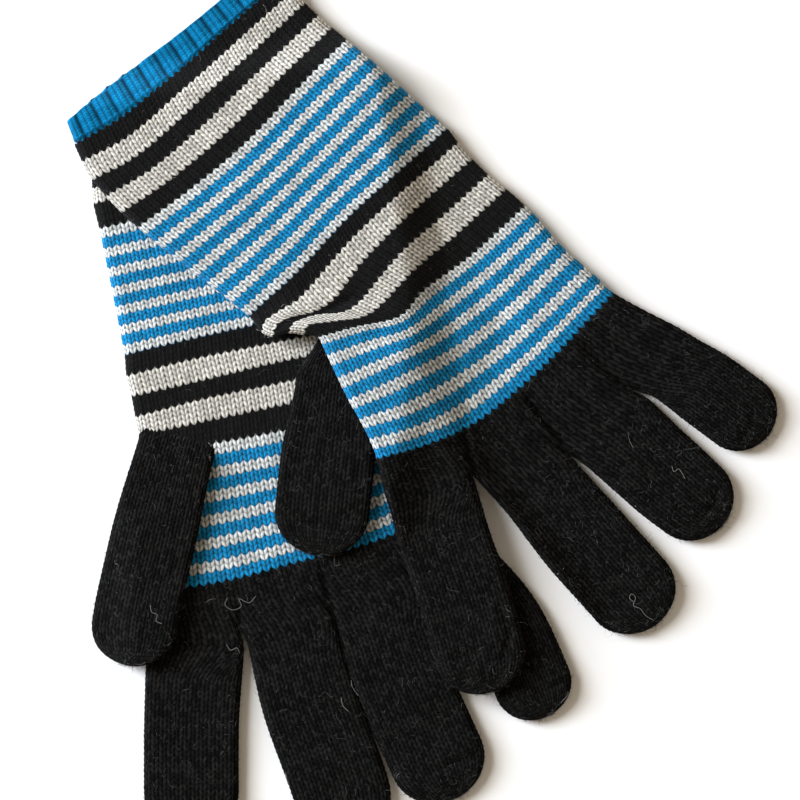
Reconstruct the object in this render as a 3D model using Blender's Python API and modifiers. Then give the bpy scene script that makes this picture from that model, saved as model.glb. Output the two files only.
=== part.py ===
"""A pair of long-cuffed knitted gloves lying flat, the left glove resting on the right one.

Each glove is a set of flattened knitted tubes: a rib cuff, a striped wrist, a striped palm, a plain
knuckle section, a thumb, and four fingers that each have a base tube and an end tube. The right glove
lies palm up on the ground plane. The left glove lies back up over it and sags to the ground beside it.
Lengths are in millimetres until a mesh is made, which is in metres. +Z is up, the fingers point to -Y.
"""

import math

import bmesh
import bpy

MM = 0.001
GAP = 1.2  # clearance between two tubes in a line, whose ends lean a little

# Thickness of a whole flattened tube, and of the fabric that it is knitted from.
CUFF_THICK = 8.2
WRIST_THICK = 7.6
PALM_THICK = 6.8
KNUCKLE_THICK = 6.2
FINGER_THICK = 6.0
THUMB_THICK = 5.0
TIP_THICK = 3.6
HAND_WALL = 1.5
FINGER_WALL = 1.2

# Sag of a piece that rests on another one: how far beside it the fabric reaches the ground.
SAG_RUN = 17.0
SAG_START = 5.0  # distance past the lower piece's edge where the sag begins
THUMB_MARGIN = 5.0
THUMB_REST = 7.9  # both thumbs lie on the right palm at this height
THUMB_SAG_START = 1.5
TABLE_CLEAR = 0.1

# How the sections are divided.
HAND_STEPS = 8
FINGER_STEPS = 3
ROUND_ANGLES = (0.0, 45.0, 90.0)
TIP_ANGLES = (0.0, 32.0, 56.0, 76.0)
TIP_REACH = 0.46  # length of a rounded fingertip over the tube's width
STATION_RUN = 12.0
CURVE_STEPS = 60  # steps that a centre line is measured in
WIDTH_RUN = 0.45  # fraction of a digit's length over which its width changes
MOST_ROUND = 0.42  # largest radius of a section's sides over its width

# Side edges of each hand from the cuff's edge to the last stripe, thumb side first.
RIGHT_HAND = {
    "thumb_side": [(-120.2, 95.8), (-119.2, 89.3), (-110.9, 38.9), (-106.6, 17.3),
                   (-100.1, -43.9), (-99.4, -69.8)],
    "little_side": [(-22.7, 112.7), (-21.7, 106.2), (-13.0, 46.1), (-8.6, 19.1),
                    (5.4, -31.3), (11.9, -38.9)],
    "knuckles": [(-99.0, -84.5), (-81.3, -84.5), (-63.7, -83.8), (-47.9, -80.9), (-32.3, -76.0),
                 (-17.1, -69.3), (-2.4, -64.3), (10.8, -57.4), (23.4, -50.6)],
    "rib_end": 1,
    "wrist_end": 3,
    "palm_end": 5,
}
LEFT_HAND = {
    "thumb_side": [(-127.4, 98.3), (-122.8, 88.6), (-99.7, 61.2), (-61.9, 31.0),
                   (-34.9, 20.9), (-17.3, -20.2)],
    "little_side": [(-54.7, 158.4), (-47.2, 149.0), (-27.7, 130.3), (8.3, 97.6), (35.3, 69.5), (68.4, 38.5)],
    "knuckles": [(-13.7, -34.0), (2.3, -30.0), (18.2, -25.8), (38.8, -27.2), (51.2, -17.4),
                 (66.8, -9.0), (78.4, 3.0), (86.9, 13.4), (94.2, 24.1)],
    "rib_end": 1,
    "wrist_end": 3,
    "palm_end": 5,
}

# Centre line of each digit from its base to its tip, its width at the base and at the middle, and how
# far along it the end tube starts.
RIGHT_DIGITS = {
    "index": {"line": [(-81.3, -86.6), (-82.8, -118.5), (-82.8, -157.0)],
              "widths": (35.2, 34.2), "split": 0.46},
    "middle": {"line": [(-47.4, -81.6), (-40.3, -110.2), (-29.0, -141.0), (-25.5, -158.1)],
               "widths": (31.4, 34.0), "split": 0.42},
    "ring": {"line": [(-16.4, -71.3), (-6.4, -98.0), (3.0, -121.0), (12.2, -144.0)],
             "widths": (30.4, 34.0), "split": 0.60},
    "little": {"line": [(12.9, -60.6), (30.2, -82.0), (45.5, -116.5)],
               "widths": (27.4, 28.2), "split": 0.77},
}
LEFT_DIGITS = {
    "index": {"line": [(2.6, -31.5), (9.0, -53.0), (16.0, -73.5), (24.4, -105.6)],
              "widths": (32.2, 32.6), "split": 0.42},
    "middle": {"line": [(40.2, -28.9), (57.6, -49.8), (76.0, -70.4), (84.8, -81.0)],
               "widths": (30.8, 33.0), "split": 0.44},
    "ring": {"line": [(68.2, -10.5), (88.0, -28.5), (108.5, -46.5)],
             "widths": (33.0, 31.5), "split": 0.44},
    "little": {"line": [(88.3, 12.7), (103.5, 2.5), (124.7, -13.2)],
               "widths": (25.8, 28.0), "split": 0.46},
}
RIGHT_THUMB = {"line": [(-87.9, -17.3), (-96.2, -50.0), (-102.8, -79.0), (-104.3, -96.0)],
               "widths": (28.0, 31.0)}
LEFT_THUMB = {"line": [(-27.5, 17.0), (-32.0, -11.0), (-35.2, -35.0), (-38.2, -56.0)],
              "widths": (28.0, 33.2)}

# Ground that the right glove covers, and that the left thumb covers.
RIGHT_OUTLINE = [(-120.0, 96.0), (-22.5, 113.0), (-17.0, 75.0), (-8.6, 19.0), (-0.7, -15.0), (11.9, -39.0),
                 (23.4, -51.5), (42.8, -75.0), (54.0, -103.0), (47.0, -116.0), (12.0, -144.0),
                 (-25.5, -158.0), (-99.0, -145.0), (-100.0, -44.0)]
LEFT_THUMB_OUTLINE = [(-42.0, 18.0), (-49.0, -12.0), (-51.8, -34.0), (-48.0, -50.0), (-38.0, -56.0),
                      (-25.0, -50.0), (-18.5, -34.0), (-15.0, -10.0), (-13.0, 18.0)]

# Height that the right glove lifts the left one to, at its cuff and at its fingers.
LIFT_CUFF = 8.9
LIFT_FINGERS = 6.9
LIFT_SPAN = (60.0, -60.0)
LIFT_OVER_THUMB = 5.4

# Hinge axes run across the top of each tube, just above it.
HINGE_CLEAR = 0.2

COLOURS = {
    "blue_rib": (0.0, 0.28, 0.62, 1.0),
    "striped_knit": (0.45, 0.52, 0.56, 1.0),
    "black_knit": (0.012, 0.012, 0.013, 1.0),
}
KNIT_ROUGHNESS = 0.95


def lerp(a, b, t):
    return a + (b - a) * t


def smoothstep(t):
    t = min(1.0, max(0.0, t))
    return t * t * (3.0 - 2.0 * t)


def curve_point(points, t):
    """Point at t, counted in spans, on the smooth curve through the points."""
    last = len(points) - 1
    span = min(last - 1, max(0, int(t)))
    f = t - span
    p1, p2 = points[span], points[span + 1]
    p0 = points[span - 1] if span else tuple(2 * a - b for a, b in zip(p1, p2))
    p3 = points[span + 2] if span + 2 <= last else tuple(2 * b - a for a, b in zip(p1, p2))
    return tuple(
        0.5 * (2 * b + (c - a) * f + (2 * a - 5 * b + 4 * c - d) * f * f + (3 * b - a - 3 * c + d) * f ** 3)
        for a, b, c, d in zip(p0, p1, p2, p3)
    )


def distance_outside(x, y, outline):
    """Distance from a point to an outline, 0 inside it."""
    inside = False
    nearest = math.inf
    for (ax, ay), (bx, by) in zip(outline, outline[1:] + outline[:1]):
        if (ay > y) != (by > y) and x < ax + (bx - ax) * (y - ay) / (by - ay):
            inside = not inside
        dx, dy = bx - ax, by - ay
        f = min(1.0, max(0.0, ((x - ax) * dx + (y - ay) * dy) / (dx * dx + dy * dy)))
        nearest = min(nearest, math.hypot(x - ax - f * dx, y - ay - f * dy))
    return 0.0 if inside else nearest


def flat_ground(x, y):
    return 0.0


def on_right_palm(x, y):
    """The right thumb lies on its own palm and sags to the ground beside it."""
    away = distance_outside(x, y, RIGHT_OUTLINE)
    return lerp(THUMB_REST, TABLE_CLEAR, smoothstep((away - THUMB_SAG_START) / SAG_RUN))


def under_left_thumb(x, y):
    return THUMB_REST


def on_right_glove(x, y):
    """The left glove lies on the right one and on its own thumb, and sags to the ground beside them."""
    along = smoothstep((y - LIFT_SPAN[0]) / (LIFT_SPAN[1] - LIFT_SPAN[0]))
    away = distance_outside(x, y, RIGHT_OUTLINE)
    sag = smoothstep((away - SAG_START) / SAG_RUN)
    height = lerp(lerp(LIFT_CUFF, LIFT_FINGERS, along), TABLE_CLEAR, sag)
    beside_thumb = max(0.0, distance_outside(x, y, LEFT_THUMB_OUTLINE) - THUMB_MARGIN)
    return height + LIFT_OVER_THUMB * (1.0 - smoothstep(beside_thumb / SAG_RUN))


def polyline_point(points, f):
    """Point at fraction f of the points' own count along a polyline."""
    t = f * (len(points) - 1)
    span = min(len(points) - 2, int(t))
    return tuple(lerp(a, b, t - span) for a, b in zip(points[span], points[span + 1]))


def section(row, thick, steps, ground):
    """Closed ring of points round a flattened tube: over the top from one side, back along the bottom."""
    width = sum(math.dist(a, b) for a, b in zip(row, row[1:]))
    radius = min(thick / 2, MOST_ROUND * width)
    angles = [math.radians(a) for a in ROUND_ANGLES]
    side = [(radius * (1 - math.cos(a)) / width, math.sin(a)) for a in angles]
    middle = [(k / steps, 1.0) for k in range(1, steps)]
    across = side + middle + [(1 - f, h) for f, h in reversed(side)]
    ring = []
    for f, h in across:
        x, y = polyline_point(row, f)
        ring.append((x, y, ground(x, y) + thick / 2 + h * thick / 2))
    for f, h in reversed(across[1:-1]):
        x, y = polyline_point(row, f)
        ring.append((x, y, ground(x, y) + thick / 2 - h * thick / 2))
    return ring


def towards(p, q, run):
    """Point moved from p towards q."""
    size = math.dist(p, q)
    return tuple(a + (b - a) * run / size for a, b in zip(p, q))


def collection_named(name):
    made = bpy.data.collections.new(name)
    bpy.context.scene.collection.children.link(made)
    return made


def material_named(name):
    made = bpy.data.materials.new(name)
    made.use_nodes = True
    shader = made.node_tree.nodes["Principled BSDF"]
    shader.inputs["Base Color"].default_value = COLOURS[name]
    shader.inputs["Roughness"].default_value = KNIT_ROUGHNESS
    shader.inputs["Metallic"].default_value = 0.0
    return made


def add_tube(parts, name, rings, origin, wall, material, closed_tip):
    """One piece: a skin lofted over the rings, given its thickness inwards by Solidify."""
    mesh = bpy.data.meshes.new(name)
    bm = bmesh.new()
    loops = []
    for ring in rings:
        loops.append([bm.verts.new([(c - o) * MM for c, o in zip(p, origin)]) for p in ring])
    for near, far in zip(loops, loops[1:]):
        for k in range(len(near)):
            after = (k + 1) % len(near)
            bm.faces.new((near[k], near[after], far[after], far[k]))
    if closed_tip:
        bm.faces.new(loops[-1])
    bmesh.ops.recalc_face_normals(bm, faces=bm.faces)
    bm.to_mesh(mesh)
    bm.free()
    mesh.materials.append(material)
    mesh.shade_smooth()
    piece = bpy.data.objects.new(name, mesh)
    piece.location = [c * MM for c in origin]
    parts.objects.link(piece)
    shell = piece.modifiers.new("knit_thickness", "SOLIDIFY")
    shell.thickness = wall * MM
    shell.offset = -1.0
    shell.use_even_offset = True
    return piece


def hang_on(piece, parent):
    """Parents a piece and keeps it where it is."""
    piece.parent = parent
    piece.location = piece.location - world_place(parent)


def world_place(thing):
    place = thing.location.copy()
    while thing.parent:
        thing = thing.parent
        place += thing.location
    return place


def hand_rows(hand, start, end, divisions=1):
    """Straight rows across the hand, between two named points of its side edges."""
    places = [start + k / divisions for k in range((end - start) * divisions + 1)]
    return [[curve_point(hand["thumb_side"], t), curve_point(hand["little_side"], t)] for t in places]


def rows_between(near, far, count):
    """Rows that blend from one row to another, both ends included."""
    return [
        [tuple(lerp(p, q, k / count) for p, q in zip(a, b)) for a, b in zip(near, far)]
        for k in range(count + 1)
    ]


def spread_row(row, count):
    return [polyline_point(row, k / count) for k in range(count + 1)]


def start_after_gap(rows):
    """Moves the first row on, clear of the piece before it."""
    moved = [towards(a, b, GAP) for a, b in zip(rows[0], rows[1])]
    return [moved] + rows[1:]


def add_hand(parts, side, hand, ground, root, materials):
    """Rib cuff, striped wrist, striped palm and plain knuckle section of one glove."""
    rib, wrist, palm = hand["rib_end"], hand["wrist_end"], hand["palm_end"]
    last_row = spread_row(hand_rows(hand, palm, palm)[0], HAND_STEPS)
    knuckle_rows = rows_between(last_row, hand["knuckles"], 2)
    finer = 2 if ground is flat_ground else 4
    pieces = [
        ("cuff", hand_rows(hand, 0, rib), CUFF_THICK, CUFF_THICK, "blue_rib"),
        ("wrist", hand_rows(hand, rib, wrist, finer), CUFF_THICK, WRIST_THICK, "striped_knit"),
        ("palm", hand_rows(hand, wrist, palm, finer), WRIST_THICK, PALM_THICK, "striped_knit"),
        ("knuckles", knuckle_rows, PALM_THICK, KNUCKLE_THICK, "black_knit"),
    ]
    for name, rows, thick_from, thick_to, material in pieces:
        if name != "cuff":
            rows = start_after_gap(rows)
        rings = []
        for k, row in enumerate(rows):
            thick = lerp(thick_from, thick_to, k / (len(rows) - 1))
            rings.append(section(row, thick, HAND_STEPS, ground))
        origin = root.location / MM
        piece = add_tube(parts, f"{side}_{name}", rings, origin, HAND_WALL, materials[material], False)
        piece.location = (0.0, 0.0, 0.0)
        piece.parent = root


def digit_stations(digit, start, end, with_tip):
    """Rows across a digit between two fractions of its length, narrowing round at its tip."""
    line = digit["line"]
    fine = [curve_point(line, k * (len(line) - 1) / CURVE_STEPS) for k in range(CURVE_STEPS + 1)]
    runs = [0.0]
    for a, b in zip(fine, fine[1:]):
        runs.append(runs[-1] + math.dist(a, b))
    length = runs[-1]
    reach = TIP_REACH * digit["widths"][1]

    def at(run):
        k = max(j for j in range(CURVE_STEPS) if runs[j] <= run or j == 0)
        f = (run - runs[k]) / (runs[k + 1] - runs[k])
        point = tuple(lerp(p, q, f) for p, q in zip(fine[k], fine[k + 1]))
        size = math.dist(fine[k], fine[k + 1])
        along = tuple((q - p) / size for p, q in zip(fine[k], fine[k + 1]))
        return point, along

    first, last = start * length, end * length
    if with_tip:
        last = length - reach
    count = max(2, round((last - first) / STATION_RUN))
    places = [(lerp(first, last, k / count), 1.0) for k in range(count + 1)]
    if with_tip:
        for angle in TIP_ANGLES[1:]:
            a = math.radians(angle)
            places.append((last + reach * math.sin(a), math.cos(a)))
    rows = []
    for run, narrow in places:
        point, along = at(min(run, length - 0.01))
        width = narrow * lerp(*digit["widths"], smoothstep(run / (WIDTH_RUN * length)))
        out = (along[1], -along[0])
        rows.append(([tuple(c - s * o * width / 2 for c, o in zip(point, out)) for s in (-1, 1)], narrow))
    return rows, at(first)


def add_digit(parts, name, digit, start, end, thick, ground, material, hinge_height=None):
    """One tube of a digit. Its origin is on its hinge: midway across its mouth and above it unless given."""
    with_tip = end >= 1.0
    rows, (point, along) = digit_stations(digit, start, end, with_tip)
    rings = []
    for row, narrow in rows:
        section_thick = lerp(TIP_THICK, thick, narrow)
        rings.append(section(row, section_thick, FINGER_STEPS, ground))
    top = max(z for x, y, z in rings[0]) + HINGE_CLEAR
    origin = (point[0], point[1], top if hinge_height is None else hinge_height)
    return add_tube(parts, name, rings, origin, FINGER_WALL, material, with_tip)


def add_fingers(parts, side, digits, ground, root, material):
    for name, digit in digits.items():
        split = digit["split"]
        length = sum(math.dist(a, b) for a, b in zip(digit["line"], digit["line"][1:]))
        base_end = split - GAP / length
        finger = f"{side}_{name}"
        base = add_digit(parts, f"{finger}_base", digit, 0.0, base_end, FINGER_THICK, ground, material)
        end = add_digit(parts, f"{finger}_end", digit, split, 1.0, FINGER_THICK, ground, material)
        hang_on(end, base)
        hang_on(base, root)


def empty_at(parts, name, place):
    made = bpy.data.objects.new(name, None)
    made.location = [c * MM for c in place]
    made.empty_display_size = 0.02
    parts.objects.link(made)
    return made


def main():
    for thing in list(bpy.data.objects):
        bpy.data.objects.remove(thing)
    parts = collection_named("knitted_gloves")
    materials = {name: material_named(name) for name in COLOURS}
    right = empty_at(parts, "right_hand_frame", (0.0, 0.0, 0.0))
    left = empty_at(parts, "left_hand_frame", (0.0, 0.0, LIFT_CUFF))
    add_hand(parts, "right", RIGHT_HAND, flat_ground, right, materials)
    add_hand(parts, "left", LEFT_HAND, on_right_glove, left, materials)
    add_fingers(parts, "right", RIGHT_DIGITS, flat_ground, right, materials["black_knit"])
    add_fingers(parts, "left", LEFT_DIGITS, on_right_glove, left, materials["black_knit"])
    black = materials["black_knit"]
    thumb = add_digit(parts, "right_thumb", RIGHT_THUMB, 0.0, 1.0, THUMB_THICK, on_right_palm, black)
    hang_on(thumb, right)
    under = under_left_thumb
    thumb = add_digit(parts, "left_thumb", LEFT_THUMB, 0.0, 1.0, THUMB_THICK, under, black, THUMB_REST)
    hang_on(thumb, left)
    hang_on(left, right)


main()
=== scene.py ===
"""Looks of a pair of long-cuffed knitted gloves lying flat, the left one on the right one.

Each piece is a flattened knitted tube whose surface is made stitch by stitch: columns of stitches (wales)
run from the cuff to the fingertips and rows of stitches (courses) run round the tube. Positions on the
fabric are counted in wales and courses, and the pattern of stripes is worked out from the course number.
Lengths are in millimetres until a mesh is made, which is in metres. The fingers point to -Y.
"""

import math

import bpy
import numpy as np
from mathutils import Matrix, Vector


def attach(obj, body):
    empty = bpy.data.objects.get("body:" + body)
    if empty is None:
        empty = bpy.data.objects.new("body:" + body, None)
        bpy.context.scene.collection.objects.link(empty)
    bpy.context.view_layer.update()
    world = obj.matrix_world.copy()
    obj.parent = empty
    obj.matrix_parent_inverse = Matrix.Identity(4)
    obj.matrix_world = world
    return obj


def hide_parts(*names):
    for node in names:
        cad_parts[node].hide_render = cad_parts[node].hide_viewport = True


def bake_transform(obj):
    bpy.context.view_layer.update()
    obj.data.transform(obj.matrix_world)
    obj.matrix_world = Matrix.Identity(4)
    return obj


MM = 0.001

# Stitches.
HAND_WALES = 72
COLUMNS = 6  # mesh columns to a wale
ROWS = 4  # mesh rows to a course
ZIGZAG = 0.72  # how far, in courses, the legs of a stitch lean
RELIEF = 0.40
RELIEF_LEVEL = 0.75  # the part of the relief that lies under the tube's own surface
COURSE = 2.0  # height of a course on a finger or thumb
FIBRES_PER_STITCH = {"striped_yarn": 0.24, "black_yarn": 1.3}
FIBRE_RADIUS = 0.05
FIBRE_STEPS = 5
FIBRE_ROOT = 0.3  # how deep in the yarn a fibre starts
FIBRE_MARK = 1000  # added to the wale number on a fibre, and twice that on a long pale one
PALE_SHARE = 0.004
HAIR_RADIUS = 0.07
HAIR_STEPS = 28
HAIR_CLEAR = 0.25  # how high over the knit a loose hair lies
RIB_COUNT = 28
RIB_COLUMNS = 16
RIB_COURSES = 10
RIB_WALES = 3  # columns of fine stitches on a rib
RIB_DEPTH = 1.0
RIB_RELIEF = 0.28
RIB_ZIGZAG = 0.5
RIB_END = 0.35  # course under the wrist where the rib ends
RIB_SINK = 0.3
RIB_TUCK = 0.7  # how deep the rib's end lies under the wrist's first stitches
ROLL_ROWS = 6
ROLL_REACH = 0.25
LINING_ROWS = 12
LINING_STEP = 0.6

# The pattern, in courses from the end of the rib.
WIDE_BAND = 4
THIN_BAND = 2
ZONES = (0, 20, 46, 66)  # wide bands, thin stripes, wide bands, thin stripes
PALM_START = 46
KNUCKLE_START = 90
STRIP_START = 94.5  # from here on each finger is a strip of its own
KNUCKLE_LINE = 100
STRIP_END = 102  # and from here on it follows only its own centre line
EVEN_OUT = 8  # courses past the knuckles over which the wales of a finger spread evenly round it
CUFF_START = -8

# Thickness of a whole flattened tube.
CUFF_THICK = 8.2
WRIST_THICK = 7.6
PALM_THICK = 6.8
FINGER_THICK = 6.0
THUMB_THICK = 5.0
RIB_WALL = 1.35
TIP_REACH = 0.46  # length of a round tip, as a share of the digit's width
TIP_END = 0.965  # share of the tip's quarter turn that is knitted
ROW_POINTS = 25  # points kept across a course of a hand
STRIP_WALES = 9  # wales across the top of each finger where it leaves the hand
SIDE_WALES = {"index": 8, "middle": 4, "ring": 4, "little": 8}  # on a side that faces another finger
THUMB_WALES = 26

# How high a piece that rests on another one lies, and how it sags beside it.
SAG_RUN = 17.0
SAG_START = 5.0
THUMB_MARGIN = 5.0
THUMB_REST = 7.9
THUMB_SAG_START = 1.5
THUMB_RISE = 18.0  # run over which a thumb rises out of its palm
TABLE_CLEAR = 0.1
LIFT_CUFF = 8.9
LIFT_FINGERS = 6.9
LIFT_SPAN = (60.0, -60.0)  # Y from which the lift changes, and to which
LIFT_OVER_THUMB = 5.4

# Courses of each hand, as (course, points across it from its left edge to its right one).
RIGHT_ROWS = [
    (-8, [(-120.2, 95.8), (-95.8, 100.0), (-71.4, 104.2), (-47.0, 108.5), (-22.7, 112.7)]),
    (0, [(-119.2, 88.6), (-94.8, 92.9), (-70.4, 97.2), (-46.0, 101.6), (-21.7, 105.9)]),
    (8, [(-118.6, 79.9), (-94.0, 84.2), (-69.5, 88.5), (-45.0, 93.0), (-20.3, 97.5)]),
    (16, [(-118.0, 69.8), (-93.2, 74.9), (-68.5, 79.8), (-43.8, 84.6), (-18.8, 89.5)]),
    (20, [(-115.9, 60.8), (-91.4, 66.2), (-67.1, 71.4), (-42.6, 77.0), (-17.9, 82.0)]),
    (46, [(-106.9, 15.5), (-83.0, 21.2), (-59.0, 26.5), (-35.0, 31.5), (-10.5, 36.5)]),
    (50, [(-106.2, 7.9), (-82.1, 14.0), (-57.9, 18.9), (-33.5, 23.9), (-9.2, 29.0)]),
    (54, [(-104.4, 0.7), (-80.4, 6.1), (-56.6, 11.9), (-32.1, 17.0), (-7.9, 22.0)]),
    (58, [(-103.0, -6.8), (-79.2, -0.5), (-55.4, 4.5), (-31.0, 9.7), (-6.8, 14.8)]),
    (62, [(-101.9, -13.3), (-78.1, -8.3), (-54.3, -3.2), (-30.0, 2.0), (-5.6, 7.0)]),
    (66, [(-101.5, -20.5), (-77.3, -16.6), (-52.9, -12.2), (-29.0, -6.6), (-4.3, -0.9)]),
    (90, [(-99.4, -69.8), (-71.3, -65.7), (-43.9, -58.6), (-16.6, -51.2), (11.9, -38.9)]),
    (100, [(-99.0, -84.5), (-63.7, -83.8), (-32.3, -76.0), (-2.4, -64.3), (23.4, -50.6)]),
]
LEFT_ROWS = [
    (-8, [(-127.4, 98.3), (-106.0, 116.4), (-88.9, 129.2), (-72.0, 142.9), (-54.7, 158.4)]),
    (0, [(-124.2, 90.4), (-106.9, 100.4), (-88.9, 115.6), (-70.9, 131.8), (-48.2, 151.6)]),
    (8, [(-117.7, 77.8), (-101.0, 87.0), (-82.0, 103.7), (-61.9, 123.0), (-41.8, 141.8)]),
    (20, [(-101.5, 60.8), (-84.0, 73.5), (-64.0, 90.0), (-44.5, 110.3), (-27.0, 128.5)]),
    (46, [(-61.9, 29.2), (-43.9, 45.6), (-26.5, 64.3), (-9.0, 80.2), (9.0, 96.8)]),
    (50, [(-57.4, 23.6), (-56.0, 27.6), (-50.0, 31.7), (-42.5, 37.0), (-25.0, 57.0),
          (-6.0, 74.8), (13.0, 91.8)]),
    (54, [(-53.2, 21.8), (-51.5, 26.4), (-46.0, 28.9), (-38.0, 31.0), (-31.0, 36.0), (-20.5, 49.7),
          (-1.0, 69.0), (18.0, 86.0)]),
    (58, [(-47.6, 23.0), (-46.0, 26.6), (-38.0, 29.7), (-29.0, 30.6), (-22.3, 34.5), (-7.9, 51.5),
          (8.0, 65.8), (23.8, 80.3)]),
    (62, [(-42.1, 22.4), (-40.4, 26.0), (-30.0, 27.6), (-18.0, 30.6), (-2.5, 46.1),
          (14.0, 60.3), (30.2, 75.2)]),
    (66, [(-37.1, 21.6), (-24.0, 25.3), (-8.0, 29.2), (1.1, 38.9), (19.1, 52.5), (37.1, 69.1)]),
    (69, [(-34.9, 17.3), (-20.0, 22.2), (-5.8, 26.2), (6.5, 36.0), (23.5, 49.5), (41.0, 65.2)]),
    (77, [(-27.4, 1.4), (-12.0, 8.5), (8.6, 19.1), (28.5, 34.0), (50.4, 54.4)]),
    (85, [(-19.8, -12.6), (-2.0, -7.3), (16.2, 2.5), (38.5, 19.8), (63.0, 43.2)]),
    (90, [(-16.2, -21.6), (1.1, -16.9), (20.5, -7.9), (44.0, 11.8), (68.8, 37.8)]),
    (100, [(-13.7, -34.0), (18.2, -25.8), (51.2, -17.4), (78.4, 3.0), (94.2, 24.1)]),
]
# Slow waves in the fabric: length, direction and height of each.
RUMPLES = ((47.0, 0.3, 0.16), (33.0, 1.2, 0.14), (26.0, 2.2, 0.12), (19.0, 0.9, 0.08), (14.0, 2.8, 0.05))
# Bounds between the fingers across a hand: equal numbers of wales on each.
FINGER_BOUNDS = (0.0, 0.242, 0.5, 0.758, 1.0)

# Centre line of each digit from its base to its tip, its widths, and how far along it the end tube starts.
RIGHT_DIGITS = {
    "index": {"line": [(-81.3, -86.6), (-82.8, -118.5), (-82.8, -157.0)],
              "widths": [(0.0, 35.2), (0.45, 34.2)], "split": 0.46},
    "middle": {"line": [(-47.4, -81.6), (-39.9, -110.2), (-29.0, -141.0), (-25.5, -158.1)],
               "widths": [(0.0, 33.0), (0.35, 34.8)], "split": 0.42},
    "ring": {"line": [(-17.0, -71.5), (-8.4, -98.0), (1.6, -121.0), (12.2, -144.0)],
             "widths": [(0.0, 33.2), (0.35, 34.6)], "split": 0.60},
    "little": {"line": [(12.9, -60.6), (30.2, -82.0), (44.9, -114.6)],
               "widths": [(0.0, 27.4), (0.45, 28.2)], "split": 0.77},
}
LEFT_DIGITS = {
    "index": {"line": [(2.6, -31.5), (9.0, -53.0), (16.0, -73.5), (24.4, -105.6)],
              "widths": [(0.0, 32.2), (0.45, 32.6)], "split": 0.42},
    "middle": {"line": [(40.2, -28.9), (57.6, -49.8), (76.0, -70.4), (84.8, -81.0)],
               "widths": [(0.0, 30.8), (0.45, 33.0)], "split": 0.44},
    "ring": {"line": [(68.2, -10.5), (88.0, -28.5), (108.3, -45.6)],
             "widths": [(0.0, 33.0), (0.45, 32.4), (0.9, 30.4)], "split": 0.44},
    "little": {"line": [(88.3, 12.7), (103.5, 2.5), (124.7, -13.2)],
               "widths": [(0.0, 25.8), (0.45, 28.0)], "split": 0.46},
}
RIGHT_THUMB = {"line": [(-87.9, -17.3), (-96.2, -50.0), (-102.8, -79.0), (-104.3, -96.0)],
               "widths": [(0.0, 28.0), (0.45, 31.0)]}
LEFT_THUMB = {"line": [(-29.5, 17.0), (-32.5, -11.0), (-35.2, -35.0), (-37.0, -56.4)],
              "widths": [(-0.1, 14.0), (0.16, 29.0), (0.55, 34.0)]}

# Folds in each glove, and the valleys between its fingers where they lie side by side: points along each,
# depth and width.
LEFT_FOLDS = [
    ([(14.0, 46.0), (25.2, 31.7), (28.1, 19.1), (24.5, 8.3), (19.0, -2.0)], 1.5, 6.5),
    ([(2.0, 63.0), (11.0, 56.0)], 0.9, 4.5),
    ([(-22.0, 20.0), (-4.0, 27.0), (4.0, 40.0)], 0.9, 4.5),
    ([(-52.0, 25.0), (-44.0, 28.6), (-34.0, 31.0), (-24.0, 36.0)], 1.3, 1.7),
    ([(-60.0, 118.0), (-74.0, 102.0)], 0.5, 7.0),
    ([(-98.0, 110.0), (-86.0, 92.0)], 0.4, 6.0),
    ([(15.0, -12.0), (17.5, -21.0), (20.5, -31.0)], 1.9, 1.3),
    ([(38.9, -1.0), (47.5, -11.5), (57.0, -22.0)], 1.9, 1.3),
    ([(58.0, 18.0), (68.0, 9.5), (79.6, 1.8)], 1.9, 1.3),
    ([(-43.0, -46.0), (-36.0, -44.0), (-28.0, -46.5)], 0.6, 1.3),
    ([(12.5, -93.0), (21.0, -89.5), (30.5, -90.0)], 0.6, 1.3),
    ([(28.0, -75.0), (31.5, -84.0), (29.5, -93.0)], 0.9, 1.5),
    ([(70.0, -74.5), (78.0, -71.5), (85.5, -65.0)], 0.5, 1.3),
    ([(100.0, -44.0), (104.5, -38.5), (107.0, -32.5)], 0.5, 1.3),
    ([(113.5, -16.0), (118.0, -11.0), (119.0, -4.5)], 0.5, 1.3),
]
RIGHT_FOLDS = [
    ([(-62.0, -22.0), (-58.0, -48.0)], 0.5, 7.0),
    ([(-66.0, -74.0), (-64.0, -84.0)], 1.0, 1.1),
    ([(-36.0, -62.0), (-32.5, -73.4), (-27.5, -91.0)], 1.2, 1.1),
    ([(-114.0, -86.0), (-105.0, -83.0), (-95.0, -85.0)], 0.5, 1.3),
    ([(40.0, -106.0), (47.0, -104.0), (53.0, -100.0)], 0.5, 1.3),
    ([(4.0, -134.0), (12.0, -131.0), (20.0, -128.0)], 0.5, 1.3),
]

# Loose hairs that lie on a piece, and where each one runs.
HAIRS = {
    "left_middle_end_knit": [[(76.2, -73.2), (74.4, -71.8), (75.2, -70.2), (76.6, -71.6), (75.8, -74.4),
                              (78.4, -75.6), (80.0, -77.8), (83.2, -79.9)]],
    "left_ring_end_knit": [[(89.6, -24.4), (90.4, -26.4), (92.0, -25.4), (93.2, -26.8), (94.4, -29.0)]],
    "right_knuckles_knit": [[(-69.8, -71.6), (-70.6, -74.2), (-67.8, -76.0), (-64.8, -74.6), (-65.8, -71.8),
                             (-62.0, -73.4), (-59.6, -71.0)]],
    "right_index_base_knit": [[(-70.2, -88.4), (-68.6, -90.4), (-66.4, -89.6), (-65.4, -91.4)]],
    "right_middle_base_knit": [[(-25.4, -101.3), (-25.2, -103.0), (-24.3, -104.8), (-22.9, -106.8)],
                               [(-29.0, -107.4), (-28.4, -110.2), (-26.4, -112.4)]],
    "right_thumb_knit": [[(-97.0, -74.0), (-96.6, -76.4), (-94.6, -77.4), (-95.0, -79.6), (-92.8, -80.6)]],
}

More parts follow.
